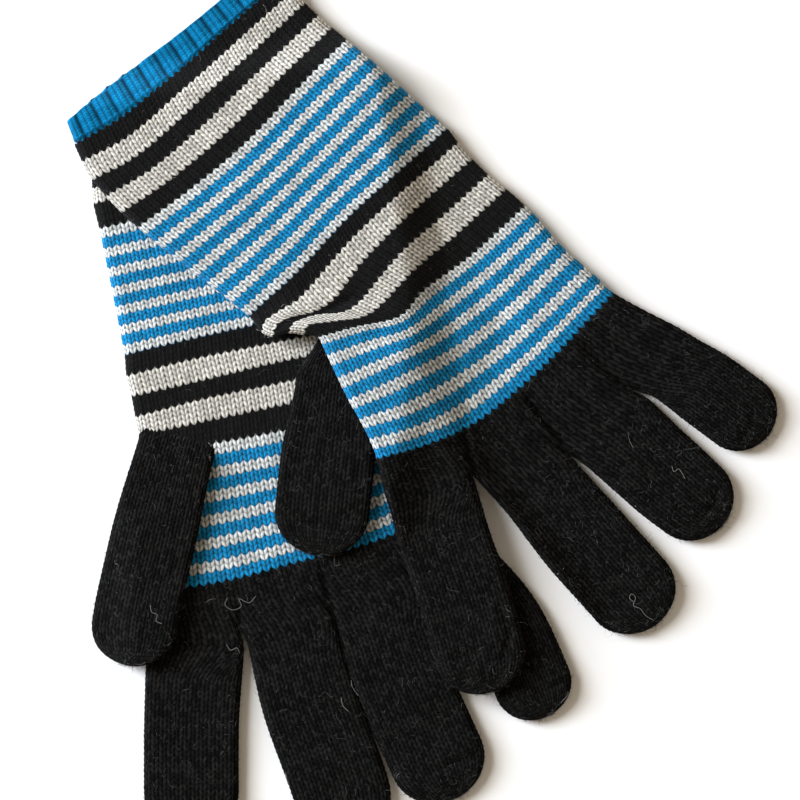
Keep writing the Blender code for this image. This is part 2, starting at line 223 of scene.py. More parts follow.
# Where a digit bends at a joint, in millimetres along it and metres up.
BEND_RUN = 14.0
FINGER_BEND_HEIGHT = 0.006
THUMB_BEND_HEIGHT = 0.01

# Ground that the right glove covers, and that the left thumb covers.
RIGHT_OUTLINE = [(-120.0, 96.0), (-22.5, 113.0), (-17.0, 75.0), (-8.6, 19.0), (-0.7, -15.0),
                 (11.9, -39.0), (23.4, -51.5), (42.8, -75.0), (54.0, -103.0), (47.0, -116.0),
                 (12.0, -144.0), (-25.5, -158.0), (-99.0, -145.0), (-100.0, -44.0)]
LEFT_THUMB_OUTLINE = [(-42.0, 18.0), (-49.0, -12.0), (-51.8, -34.0), (-48.0, -50.0), (-38.0, -56.0),
                      (-25.0, -50.0), (-18.5, -34.0), (-15.0, -10.0), (-13.0, 18.0)]

BLUE = (0.0078, 0.220, 0.455, 1.0)
RIB_BLUE = (0.002, 0.170, 0.355, 1.0)
OFF_WHITE = (0.620, 0.583, 0.508, 1.0)
COOL_WHITE = (0.620, 0.634, 0.606, 1.0)  # between blue stripes
PALE_BLUE = (0.060, 0.330, 0.590, 1.0)
# painted shade: the colour of the holes between a stitch's legs
HOLE_SHADE = (0.015, 0.015, 0.016, 1.0)
HOLE_WIDE = 0.19  # in wales, half of it
HOLE_LONG = 0.33  # in courses, half of it
BLACK = (0.0081, 0.0078, 0.0073, 1.0)
GREY_FIBRE = (0.052, 0.050, 0.047, 1.0)
LOOSE_FIBRE = (0.150, 0.147, 0.140, 1.0)
PALE_FIBRE = (0.28, 0.265, 0.245, 1.0)
FLOOR_WHITE = (0.94, 0.92, 0.885, 1.0)
YARN_ROUGHNESS = 0.95
RAGGED = 0.55  # how far, in courses, the edge of a stripe wanders
SCALLOP = 0.20  # how far, in courses, the end of each leg reaches into the next colour
BLUE_LATE = 0.10  # how far, in courses, a blue stripe runs into the pale one on each side of it

# Stage: the floor and the lamps in metres, and then the camera in millimetres.
FLOOR_REACH = 3.0
FLOOR_HEIGHT = -0.0004
SKY_COLOUR = (1.0, 0.86, 0.68, 1.0)
SKY_STRENGTH = 0.37
LAMPS = [  # name, place, size, watts and colour
    ("key", (-1.42, 0.62, 1.45), 0.9, 42.0, (0.95, 1.0, 1.07)),
    ("low", (-2.05, 0.60, 0.9), 0.9, 56.0, (0.86, 0.98, 1.18)),
]
CAMERA_AT = (-7.9, -0.7)
CAMERA_HEIGHT = 1600.0
FRAME_WIDTH = 288.0
SENSOR = 36.0


# ---------------------------------------------------------------- shapes

def smooth(t):
    """From 0 to 1 as t goes from 0 to 1, with a soft start and end."""
    t = np.clip(t, 0.0, 1.0)
    return t * t * (3.0 - 2.0 * t)


def lerp(a, b, t):
    return a + (b - a) * t


def weights(knots, x):
    """Weight of each knot's value, on a smooth curve through uneven knots, at every x."""
    knots = np.asarray(knots, float)
    x = np.asarray(x, float).ravel()
    n = len(knots)
    gap = np.diff(knots)
    rise = np.zeros((n - 1, n))
    rise[np.arange(n - 1), np.arange(n - 1)] = -1.0 / gap
    rise[np.arange(n - 1), np.arange(1, n)] = 1.0 / gap
    slope = np.empty((n, n))
    slope[0], slope[-1] = rise[0], rise[-1]
    for k in range(1, n - 1):
        slope[k] = (rise[k - 1] * gap[k - 1] + rise[k] * gap[k]) / (gap[k] + gap[k - 1])
    k = np.clip(np.searchsorted(knots, x, side="right") - 1, 0, n - 2)
    h = gap[k]
    t = (x - knots[k]) / h
    inside = np.clip(t, 0.0, 1.0)
    t2, t3 = inside ** 2, inside ** 3
    unit = np.eye(n)
    out = (
        (2 * t3 - 3 * t2 + 1)[:, None] * unit[k] + (t3 - 2 * t2 + inside)[:, None] * h[:, None] * slope[k]
        + (3 * t2 - 2 * t3)[:, None] * unit[k + 1] + (t3 - t2)[:, None] * h[:, None] * slope[k + 1]
    )
    below, above = t < 0.0, t > 1.0
    out[below] += ((t * h)[below])[:, None] * slope[0]
    out[above] += (((t - 1.0) * h)[above])[:, None] * slope[-1]
    return out


def distance_outside(xy, outline):
    """Distance of each point from an outline, 0 inside it."""
    x, y = xy[:, 0], xy[:, 1]
    inside = np.zeros(len(xy), bool)
    nearest = np.full(len(xy), np.inf)
    for (ax, ay), (bx, by) in zip(outline, outline[1:] + outline[:1]):
        dx, dy = bx - ax, by - ay
        if ay != by:
            crosses = ((ay > y) != (by > y)) & (x < ax + dx * (y - ay) / dy)
            inside ^= crosses
        f = np.clip(((x - ax) * dx + (y - ay) * dy) / (dx * dx + dy * dy), 0.0, 1.0)
        nearest = np.minimum(nearest, np.hypot(x - ax - f * dx, y - ay - f * dy))
    return np.where(inside, 0.0, nearest)


def flat_ground(xy):
    return np.zeros(len(xy))


def on_right_palm(xy):
    away = distance_outside(xy, RIGHT_OUTLINE)
    return lerp(THUMB_REST, TABLE_CLEAR, smooth((away - THUMB_SAG_START) / SAG_RUN))


def under_left_thumb(xy):
    return np.full(len(xy), THUMB_REST)


def on_right_glove(xy):
    """The left glove lies on the right one and on its own thumb, and sags to the ground beside them."""
    along = smooth((xy[:, 1] - LIFT_SPAN[0]) / (LIFT_SPAN[1] - LIFT_SPAN[0]))
    sag = smooth((distance_outside(xy, RIGHT_OUTLINE) - SAG_START) / SAG_RUN)
    height = lerp(lerp(LIFT_CUFF, LIFT_FINGERS, along), TABLE_CLEAR, sag)
    beside = np.maximum(0.0, distance_outside(xy, LEFT_THUMB_OUTLINE) - THUMB_MARGIN)
    return height + LIFT_OVER_THUMB * (1.0 - smooth(beside / SAG_RUN))


def even_points(points, count):
    """Points at even distances along the smooth curve through the given ones."""
    points = np.array(points, float)
    fine = weights(np.arange(len(points)), np.linspace(0, len(points) - 1, 241)) @ points
    runs = np.concatenate([[0.0], np.cumsum(np.linalg.norm(np.diff(fine, axis=0), axis=1))])
    wanted = np.linspace(0.0, runs[-1], count)
    return np.stack([np.interp(wanted, runs, fine[:, 0]), np.interp(wanted, runs, fine[:, 1])], axis=1)


class Hand:
    """Plan of one hand: where a course and a fraction across it lie."""

    def __init__(self, rows):
        self.knots = [course for course, _ in rows]
        self.across = np.linspace(0.0, 1.0, ROW_POINTS)
        self.points = np.array([even_points(points, ROW_POINTS) for _, points in rows])

    def plan(self, v, f):
        down = weights(self.knots, v)
        over = weights(self.across, f)
        return np.einsum("nk,nj,kjd->nd", down, over, self.points)

    def width(self, v):
        rows = np.einsum("nk,kjd->njd", weights(self.knots, v), self.points)
        return np.linalg.norm(np.diff(rows, axis=1), axis=2).sum(axis=1)

    def thick(self, v):
        return np.interp(v, (0, PALM_START, KNUCKLE_START, KNUCKLE_LINE), (
            CUFF_THICK, WRIST_THICK, PALM_THICK, FINGER_THICK))


class Digit:
    """Plan of one finger or thumb. Course numbers go on from the hand's."""

    def __init__(self, digit, first_course):
        points = np.array(digit["line"], float)
        spans = np.linspace(0, len(points) - 1, 121)
        self.line = weights(np.arange(len(points)), spans) @ points
        steps = np.linalg.norm(np.diff(self.line, axis=0), axis=1)
        self.runs = np.concatenate([[0.0], np.cumsum(steps)])
        self.length = self.runs[-1]
        self.widths = digit["widths"]
        self.first = first_course
        self.reach = TIP_REACH * self.widths[-1][1]
        self.tip_run = self.length - self.reach
        self.tip_course = first_course + self.tip_run / COURSE
        self.end = self.tip_course + self.reach * math.pi / 2 / COURSE * TIP_END

    def run(self, v):
        angle = np.clip((v - self.tip_course) * COURSE / self.reach, 0.0, math.pi / 2)
        straight = (np.minimum(v, self.tip_course) - self.first) * COURSE
        return straight + self.reach * np.sin(angle), np.cos(angle)

    def centre(self, run):
        x = np.interp(run, self.runs, self.line[:, 0])
        y = np.interp(run, self.runs, self.line[:, 1])
        before = np.minimum(run, 0.0)
        start = (self.line[1] - self.line[0]) / self.runs[1]
        return np.stack([x + before * start[0], y + before * start[1]], axis=1)

    def plan(self, v, f):
        run = self.run(np.asarray(v, float))[0]
        ahead = self.centre(np.minimum(run + 0.5, self.length))
        behind = self.centre(np.minimum(run, self.length - 0.5) - 0.5)
        along = (ahead - behind) / np.linalg.norm(ahead - behind, axis=1)[:, None]
        out = np.stack([-along[:, 1], along[:, 0]], axis=1)
        return self.centre(run) + out * ((np.asarray(f) - 0.5) * self.width(v))[:, None]

    def width(self, v):
        run, narrow = self.run(np.asarray(v, float))
        wide = np.full(len(run), float(self.widths[0][1]))
        for (f0, w0), (f1, w1) in zip(self.widths, self.widths[1:]):
            wide = wide + (w1 - w0) * smooth((run / self.length - f0) / (f1 - f0))
        return wide * narrow

    def thick(self, v, thick):
        narrow = self.run(np.asarray(v, float))[1]
        return thick * np.maximum(narrow, 0.02) ** 0.4

    def fade(self, w):
        """1 as far as the tip, then less, to 0 at its end."""
        return 1.0 - smooth((w - self.tip_course) / (self.end - self.tip_course))


class Strip:
    """Plan of a finger that starts as a strip of its hand and ends as a tube of its own."""

    def __init__(self, hand, digit, bounds):
        self.hand, self.digit, self.bounds = hand, digit, bounds

    def share(self, v):
        return smooth((v - STRIP_START) / (STRIP_END - STRIP_START))

    def plan(self, v, f):
        v, f = np.asarray(v, float), np.asarray(f, float)
        t = self.share(v)[:, None]
        early = np.minimum(v, STRIP_END)
        return lerp(self.hand.plan(early, lerp(*self.bounds, f)), self.digit.plan(v, f), t)

    def width(self, v):
        v = np.asarray(v, float)
        part = self.bounds[1] - self.bounds[0]
        early = self.hand.width(np.minimum(v, STRIP_END)) * part
        return lerp(early, self.digit.width(v), self.share(v))

    def thick(self, v):
        return lerp(self.hand.thick(v), self.digit.thick(v, FINGER_THICK), self.share(v))


def corner_arcs(width, thick, left, right):
    """Lengths round a section from the middle of its left side to each corner's middle, and all the way."""
    turn = math.pi / 4
    a = thick / 2 - left + turn * left
    b = a + turn * left + (width - left - right) + turn * right
    d = b + 2 * (thick / 2 - right) + 2 * turn * right
    e = d + turn * right + (width - left - right) + turn * left
    return a, b, d, e, e + a


def section(s, width, thick, left, right):
    """Place across (0 to width) and up (0 to thick) of a point at length s round a section."""
    quarter = math.pi / 2
    lengths = [
        thick / 2 - left, quarter * left, width - left - right, quarter * right, thick - 2 * right,
        quarter * right, width - left - right, quarter * left, thick / 2 - left,
    ]
    across, up = np.zeros_like(s), np.zeros_like(s)
    begin = np.zeros_like(s)
    for k, length in enumerate(lengths):
        end = begin + length if k < 8 else np.full_like(s, np.inf)
        here = (s >= begin) & (s < end)
        t = s - begin
        radius = right if k in (3, 5) else left
        turn = np.clip(t / np.maximum(radius, 1e-6), 0.0, quarter)
        places = (
            (0 * t, thick / 2 + t),
            (left * (1 - np.cos(turn)), thick - left + left * np.sin(turn)),
            (left + t, thick + 0 * t),
            (width - right + right * np.sin(turn), thick - right + right * np.cos(turn)),
            (width + 0 * t, thick - right - t),
            (width - right + right * np.cos(turn), right - right * np.sin(turn)),
            (width - right - t, 0 * t),
            (left - left * np.sin(turn), left - left * np.cos(turn)),
            (0 * t, left + t),
        )[k]
        across = np.where(here, places[0], across)
        up = np.where(here, places[1], up)
        begin = begin + length
    return across, up


def creases_at(xy, creases):
    """Depth of the creases and folds at each point. A crease is its points, depth and width."""
    depth = np.zeros(len(xy))
    for points, deep, wide in creases:
        nearest = np.full(len(xy), np.inf)
        for a, b in zip(points, points[1:]):
            a, b = np.array(a), np.array(b)
            f = np.clip(((xy - a) @ (b - a)) / ((b - a) @ (b - a)), 0.0, 1.0)
            nearest = np.minimum(nearest, np.linalg.norm(xy - a - f[:, None] * (b - a), axis=1))
        ends = np.minimum(np.linalg.norm(xy - np.array(points[0]), axis=1),
                          np.linalg.norm(xy - np.array(points[-1]), axis=1))
        fade = smooth(ends / (1.5 * wide) + 0.3)
        depth += deep * np.exp(-(nearest / wide) ** 2) * fade
    return depth


def scatter(a, b):
    """A number from 0 to 1 that looks random, the same each time for the same pair."""
    mixed = np.sin(a * 12.9898 + b * 78.233) * 43758.5453
    return mixed - np.floor(mixed)


def stitch_relief(u, w):
    """Height of the yarn, 0 to about 1: each stitch is two leaning legs with a dip between them."""
    leg = np.abs(np.sin(2 * math.pi * u))
    row = np.abs(np.sin(math.pi * w))
    uneven = 0.75 + 0.5 * scatter(np.floor(2 * u + 1e-6), np.floor(w + 1e-6))
    return leg ** 0.7 * (0.35 + 0.65 * row ** 0.8 * uneven)


def rumple(xy, top):
    """Slow rise and fall of the upper side of the fabric."""
    rise = np.zeros(len(xy))
    for k, (length, angle, high) in enumerate(RUMPLES):
        way = np.array([math.cos(angle), math.sin(angle)])
        rise += high * np.sin(xy @ way * 2 * math.pi / length + 1.7 * k)
    return rise * top


def rib_relief(u, w):
    """Height of a rib, which is 0 in the grooves beside it, and height of the fine stitches on it."""
    place = np.mod(u, 1.0)
    bulge = np.abs(np.sin(math.pi * place)) ** 0.9
    fine = np.abs(np.sin(RIB_WALES * math.pi * place))
    row = np.abs(np.sin(math.pi * w))
    return RIB_DEPTH * bulge, RIB_RELIEF * fine ** 0.7 * (0.35 + 0.65 * row)


def grid_normals(points):
    """Outward unit normals of rings of points that close on themselves."""
    round_ring = np.roll(points, -1, axis=1) - np.roll(points, 1, axis=1)
    along = np.gradient(points, axis=0)
    normal = np.cross(along, round_ring)
    return normal / np.maximum(np.linalg.norm(normal, axis=2), 1e-9)[..., None]


def sharpen_ends(mesh, rows, cols):
    """Marks the rims of a tube sharp, so that its closed ends don't shade its skin."""
    ends = np.empty(len(mesh.edges) * 2, np.int32)
    mesh.edges.foreach_get("vertices", ends)
    ends = ends.reshape(-1, 2)
    first = (ends < cols).all(axis=1)
    last = ((ends >= (rows - 1) * cols) & (ends < rows * cols)).all(axis=1)
    sharp = mesh.attributes.new("sharp_edge", "BOOLEAN", "EDGE")
    sharp.data.foreach_set("value", first | last)


def fibres(points, u, w, count, seed_name):
    """Loose fibres that stand off the knit: thin closed tubes rooted in the yarn, a few long and pale."""
    random = np.random.default_rng(sum(map(ord, seed_name)))
    rows, cols = points.shape[:2]
    normal = grid_normals(points)
    i, j = random.integers(1, rows - 1, count), random.integers(0, cols, count)
    root, up = points[i, j], normal[i, j]
    side = np.cross(up, random.normal(size=(count, 3)))
    side /= np.linalg.norm(side, axis=1)[:, None]
    other = np.cross(up, side)
    pale = (random.random(count) < PALE_SHARE)[:, None]
    length = np.where(pale, random.uniform(4.0, 9.0, (count, 1)), random.gamma(3.0, 0.75, (count, 1)))
    radius = np.where(pale, 1.5, 1.0) * FIBRE_RADIUS * random.uniform(0.7, 1.3, (count, 1))
    rise = random.uniform(0.10, 0.50, (count, 1))
    bend, sway = random.normal(0.0, 2.2, (count, 1)), random.normal(0.0, 1.2, (count, 1))
    middle = root - up * FIBRE_ROOT
    rings = []
    for k in range(FIBRE_STEPS + 1):
        t = k / FIBRE_STEPS
        lift = FIBRE_ROOT * min(1.0, 3 * t) + rise * t * (1.0 - 0.5 * t) * np.minimum(length, 2.0)
        centre = middle + up * lift
        centre[:, 2] = np.maximum(centre[:, 2], TABLE_CLEAR)
        rings += ring_of_four(centre, radius * (1.0 - 0.6 * t), up, other)
        heading = bend * t + sway * math.sin(5.0 * t)
        middle = middle + (side * np.cos(heading) + other * np.sin(heading)) * length / FIBRE_STEPS
    mark = FIBRE_MARK * (1 + pale[:, 0])
    uv = np.stack([np.floor(2 * u[i, j]) / 2 + 0.25 + mark, np.floor(w[i, j]) + 0.5], axis=-1)
    return thin_tubes(np.stack(rings, axis=1), uv)


def hairs(points, lines):
    """Long pale hairs that lie on the top of a piece."""
    skin = points.reshape(-1, 3)
    strands = []
    for line in lines:
        xy = even_points(line, HAIR_STEPS + 1)
        near = [np.argmin(np.hypot(*(skin[:, :2] - place).T) - 0.5 * skin[:, 2]) for place in xy]
        height = np.convolve(np.pad(skin[near, 2], 2, "edge"), np.ones(5) / 5, "valid") + HAIR_CLEAR
        middle = np.column_stack([xy, height])
        along = np.gradient(xy, axis=0)
        along /= np.linalg.norm(along, axis=1)[:, None]
        aside = np.column_stack([-along[:, 1], along[:, 0], 0 * height])
        rings = ring_of_four(middle, HAIR_RADIUS, np.array([0.0, 0.0, 1.0]), aside)
        strands.append(np.stack(rings, axis=1).reshape(-1, 3))
    return thin_tubes(np.array(strands), np.tile([2 * FIBRE_MARK + 0.25, 0.5], (len(lines), 1)))


def ring_of_four(middle, radius, up, aside):
    return [middle + radius * up, middle + radius * aside, middle - radius * up, middle - radius * aside]


def thin_tubes(vertices, uv):
    """Faces of thin closed tubes made of rings of four, and one pair of stitch numbers for each tube."""
    count, size = vertices.shape[:2]
    sides = range(4)
    last = size - 4
    faces = [[r + k, r + (k + 1) % 4, r + 4 + (k + 1) % 4, r + 4 + k]
             for r in range(0, last, 4) for k in sides]
    faces += [[3, 2, 1, 0], [last + k for k in sides]]
    faces = np.array(faces)[None] + (np.arange(count) * size)[:, None, None]
    return vertices.reshape(-1, 3), faces.reshape(-1, 4), np.repeat(uv, faces.shape[1] * 4, axis=0)


def make_mesh(name, points, u, w, material, fibre_count=0):
    """A closed tube of quads over the rings of points, with the stitch numbers as its UV map."""
    rows, cols = points.shape[:2]
    grid = np.arange(rows * cols).reshape(rows, cols)
    after = np.roll(grid, -1, axis=1)
    quads = np.stack([grid[:-1], after[:-1], after[1:], grid[1:]], axis=-1).reshape(-1, 4)
    du = u[:, 1:2] - u[:, :1]
    right = np.concatenate([u[:, 1:], u[:, -1:] + du], axis=1)
    corner_u = np.stack([u[:-1], right[:-1], right[1:], u[1:]], axis=-1).reshape(-1, 4)
    corner_w = np.stack([w[:-1], w[:-1], w[1:], w[1:]], axis=-1).reshape(-1, 4)
    half = cols // 2 - 1
    caps = [np.stack([r[:half], r[1:half + 1], r[::-1][1:half + 1], r[::-1][:half]], axis=-1)
            for r in (grid[0][::-1], grid[-1])]
    faces = np.concatenate([quads] + caps)
    cap_uv = np.tile([0.25, 0.5], (half * 2 * 4, 1))
    uvs = np.concatenate([np.stack([corner_u.ravel(), corner_w.ravel()], axis=-1), cap_uv])
    vertices = points.reshape(-1, 3)
    loose = [fibres(points, u, w, fibre_count, name)] if fibre_count else []
    if name in HAIRS:
        loose.append(hairs(points, HAIRS[name]))
    for more_vertices, more_faces, more_uvs in loose:
        faces = np.concatenate([faces, more_faces + len(vertices)])
        vertices = np.concatenate([vertices, more_vertices])
        uvs = np.concatenate([uvs, more_uvs])
    mesh = bpy.data.meshes.new(name)
    mesh.vertices.add(len(vertices))
    mesh.vertices.foreach_set("co", (vertices * MM).astype(np.float32).ravel())
    mesh.loops.add(len(faces) * 4)
    mesh.loops.foreach_set("vertex_index", faces.astype(np.int32).ravel())
    mesh.polygons.add(len(faces))
    mesh.polygons.foreach_set("loop_start", np.arange(0, len(faces) * 4, 4, dtype=np.int32))
    uv = mesh.uv_layers.new(name="stitches")
    uv.data.foreach_set("uv", uvs.astype(np.float32).ravel())
    mesh.update(calc_edges=True)
    mesh.materials.append(material)
    mesh.shade_smooth()
    sharpen_ends(mesh, rows, cols)
    piece = bpy.data.objects.new(name, mesh)
    bpy.context.scene.collection.objects.link(piece)
    return piece


def tube_points(plan, ground, v, q, thick_of, radii, breaks=None):
    """Base points of a tube: v is the course and q the fraction round it of each point.

    Breaks fix how many wales each side of a finger takes at first, and further on they even out.
    """
    shape = v.shape
    v, q = v.ravel(), q.ravel()
    width, thick = plan.width(v), thick_of(v)
    left, right = radii(v)
    most = np.minimum(thick, width) / 2 * 0.999
    left, right = np.minimum(left, most), np.minimum(right, most)
    a, b, d, e, total = corner_arcs(width, thick, left, right)
    s = q
    if breaks is not None:
        s = np.empty_like(q)
        stops = [(0.0, 0 * a)] + [(where, dict(a=a, b=b, d=d, e=e)[key] / total) for where, key in breaks]
        stops.append((1.0, 0 * a + 1.0))
        for (q0, s0), (q1, s1) in zip(stops, stops[1:]):
            here = (q >= q0) & (q <= q1)
            s = np.where(here, s0 + (s1 - s0) * (q - q0) / (q1 - q0), s)
        s = lerp(s, q, smooth((v - KNUCKLE_LINE) / EVEN_OUT))
    across, up = section(s * total, width, thick, left, right)
    xy = plan.plan(v, across / width)
    z = ground(xy) + up
    return np.column_stack([xy, z]).reshape(*shape, 3), (up / thick).reshape(shape)


def knit_piece(name, plan, ground, span, wales, material, thick_of, radii, breaks=None, creases=(),
               lift=None, fade_tip=None):
    """One knitted tube between two courses, with its stitches raised from it."""
    start, end = span
    rows = max(2, round((end - start) * ROWS)) + 1
    w = np.linspace(start, end, rows)
    u = np.arange(wales * COLUMNS) / COLUMNS
    w2, u2 = np.meshgrid(w, u, indexing="ij")
    lean = ZIGZAG * (np.abs(2 * np.mod(u2, 1.0) - 1.0) - 0.5)
    fade = np.ones_like(w2) if fade_tip is None else fade_tip(w2)
    v = w2 + lean * fade
    if fade_tip is not None:
        v = np.minimum(v, end)
    q = u2 / wales
    points, up = tube_points(plan, ground, v, q, thick_of, radii, breaks)
    if lift is not None:
        points[..., 2] += lift(v.ravel()).reshape(v.shape)
    flat_xy = points[..., :2].reshape(-1, 2)
    top = smooth(up).ravel()
    points[..., 2] += (rumple(flat_xy, top) - creases_at(flat_xy, creases) * top).reshape(v.shape)
    normal = grid_normals(points)
    points = points + normal * (RELIEF * (stitch_relief(u2, w2) - RELIEF_LEVEL) * fade)[..., None]
    fibre_count = int(rows / ROWS * wales * FIBRES_PER_STITCH[material.name])
    return make_mesh(name, points, u2, w2, material, fibre_count)


def rib_cuff(name, plan, ground, material):
    """Rib cuff: outer skin from the edge to the wrist, rolled over the edge and back inside."""
    columns = RIB_COUNT * RIB_COLUMNS
    u = np.arange(columns) / RIB_COLUMNS
    rows = [(v, 0.0) for v in np.linspace(CUFF_START, RIB_END, RIB_COURSES * ROWS + 1)]
    for k in range(1, ROLL_ROWS + 1):
        turn = 1 - math.cos(math.pi / 2 * k / ROLL_ROWS)
        rows.insert(0, (CUFF_START + ROLL_REACH * turn, RIB_WALL * turn))
    for k in range(1, LINING_ROWS + 1):
        rows.insert(0, (CUFF_START + k * LINING_STEP, RIB_WALL + 0.1))
    v = np.array([r[0] for r in rows])
    inset = np.array([r[1] for r in rows])
    v2, u2 = np.meshgrid(v, u, indexing="ij")
    inset2 = np.repeat(inset[:, None], columns, axis=1)
    fine_rows = (v2 - CUFF_START) * RIB_COURSES / -CUFF_START
    lean = RIB_ZIGZAG * (np.abs(2 * np.mod(RIB_WALES * u2, 1.0) - 1.0) - 0.5)
    lean *= smooth((v2 - CUFF_START) / 0.8) * smooth(RIB_END - v2)
    points = tube_points(plan, ground, v2 + lean, u2 / RIB_COUNT, plan.thick, full_round(plan.thick))[0]
    normal = grid_normals(points)
    inner_rows = ROLL_ROWS + LINING_ROWS
    normal[:inner_rows + 1] = normal[inner_rows]
    bulge, fine = rib_relief(u2, fine_rows)
    ease = smooth((0.2 - v2) / 2.5)
    tucked = RIB_TUCK * smooth((v2 + 0.8) / 0.5)
    height = (bulge - RIB_DEPTH) * ease + fine - RIB_SINK - inset2 - tucked
    points = points + normal * height[..., None]
    return make_mesh(name, points, u2, fine_rows, material)


# ---------------------------------------------------------------- materials

class Nodes:
    """Short names for the nodes of one material."""

    def __init__(self, name):
        self.material = bpy.data.materials.new(name)
        self.material.use_nodes = True
        self.tree = self.material.node_tree
        self.shader = self.tree.nodes["Principled BSDF"]
        place = self.tree.nodes.new("ShaderNodeUVMap")
        place.uv_map = "stitches"
        parts = self.tree.nodes.new("ShaderNodeSeparateXYZ")
        self.tree.links.new(place.outputs["UV"], parts.inputs[0])
        self.u, self.w = parts.outputs[0], parts.outputs[1]

    def feed(self, socket, value):
        if isinstance(value, bpy.types.NodeSocket):
            self.tree.links.new(value, socket)
        else:
            socket.default_value = value

    def math(self, operation, *values):
        node = self.tree.nodes.new("ShaderNodeMath")
        node.operation = operation
        for socket, value in zip(node.inputs, values):
            self.feed(socket, value)
        return node.outputs[0]

    def range(self, value, low, high, to_low=0.0, to_high=1.0):
        node = self.tree.nodes.new("ShaderNodeMapRange")
        node.interpolation_type = "SMOOTHSTEP"
        for socket, number in zip(node.inputs, (value, low, high, to_low, to_high)):
            self.feed(socket, number)
        return node.outputs[0]

    def mix(self, factor, a, b, mode="MIX"):
        node = self.tree.nodes.new("ShaderNodeMix")
        node.data_type = "RGBA"
        node.blend_type = mode
        self.feed(node.inputs[0], factor)
        self.feed(node.inputs[6], a)
        self.feed(node.inputs[7], b)
        return node.outputs[2]

    def vector(self, x, y, z=0.0):
        node = self.tree.nodes.new("ShaderNodeCombineXYZ")
        for socket, value in zip(node.inputs, (x, y, z)):
            self.feed(socket, value)
        return node.outputs[0]

    def noise(self, u_scale, w_scale, detail=2.0, roughness=0.6):
        node = self.tree.nodes.new("ShaderNodeTexNoise")
        node.inputs["Detail"].default_value = detail
        node.inputs["Roughness"].default_value = roughness
        node.inputs["Scale"].default_value = 1.0
        place = self.vector(self.math("MULTIPLY", self.u, u_scale), self.math("MULTIPLY", self.w, w_scale))
        self.tree.links.new(place, node.inputs["Vector"])
        return node.outputs["Fac"]

    def stitch_random(self, u_parts=2.0, w_parts=1.0):
        node = self.tree.nodes.new("ShaderNodeTexWhiteNoise")
        node.noise_dimensions = "2D"
        place = self.vector(
            self.math("FLOOR", self.math("MULTIPLY", self.u, u_parts)),
            self.math("FLOOR", self.math("MULTIPLY", self.w, w_parts)))
        self.tree.links.new(place, node.inputs["Vector"])
        return node.outputs["Value"]

    def bump(self, height, distance, strength):
        node = self.tree.nodes.new("ShaderNodeBump")
        node.inputs["Distance"].default_value = distance
        node.inputs["Strength"].default_value = strength
        self.feed(node.inputs["Height"], height)
        self.tree.links.new(node.outputs[0], self.shader.inputs["Normal"])


def yarn_finish(n, colour, sheen, specular):
    n.feed(n.shader.inputs["Base Color"], colour)
    n.shader.inputs["Roughness"].default_value = YARN_ROUGHNESS
    n.shader.inputs["Specular IOR Level"].default_value = specular
    n.shader.inputs["Sheen Weight"].default_value = sheen
    n.shader.inputs["Sheen Roughness"].default_value = 0.5
    return n.material


def painted_stitch_shade(n, leg_parts, dark):
    """Painted shade in the yarn's brightness: lower in the dips between legs and rows, and darkest at a
    stitch's hole, where shade falls; the tops of the legs come out a little lighter.
    """
    leg = n.math("SINE", n.math("MULTIPLY", n.math("FRACT", n.math("MULTIPLY", n.u, leg_parts)), math.pi))
    row = n.math("SINE", n.math("MULTIPLY", n.math("FRACT", n.w), math.pi))
    ridge = n.math("MULTIPLY", leg, n.math("POWER", n.math("ADD", row, 0.10), 0.7))
    return n.range(ridge, 0.08, 0.80, dark, 1.07)


def painted_hole_shade(n, strength):
    """Painted shade: 1 at the small dark hole between the legs of a stitch, where shade falls into the tube,
    more in some stitches than in others.
    """
    aside = n.math("DIVIDE", n.math("SUBTRACT", n.math("FRACT", n.u), 0.5), HOLE_WIDE)
    row = n.math("FRACT", n.w)
    along = n.math("DIVIDE", n.math("MINIMUM", row, n.math("SUBTRACT", 1.0, row)), HOLE_LONG)
    far = n.math("SQRT", n.math("ADD", n.math("POWER", aside, 2.0), n.math("POWER", along, 2.0)))
    chance = n.range(n.stitch_random(1.0, 1.0), 0.15, 0.9, 0.30, strength)
    return n.math("MULTIPLY", n.range(far, 1.0, 0.35), chance)


def yarn_tone(n, low, high, grain=(5.0, 16.0)):
    """Soft change of tone from stitch to stitch, with fine fibres along the legs."""
    fibrous = n.math("MULTIPLY", n.noise(*grain, 3.0), 0.80)
    tone = n.math("ADD", n.math("MULTIPLY", n.stitch_random(), 0.40), fibrous)
    return n.range(tone, 0.2, 0.95, low, high)


def grey(n, value):
    return n.vector(value, value, value)


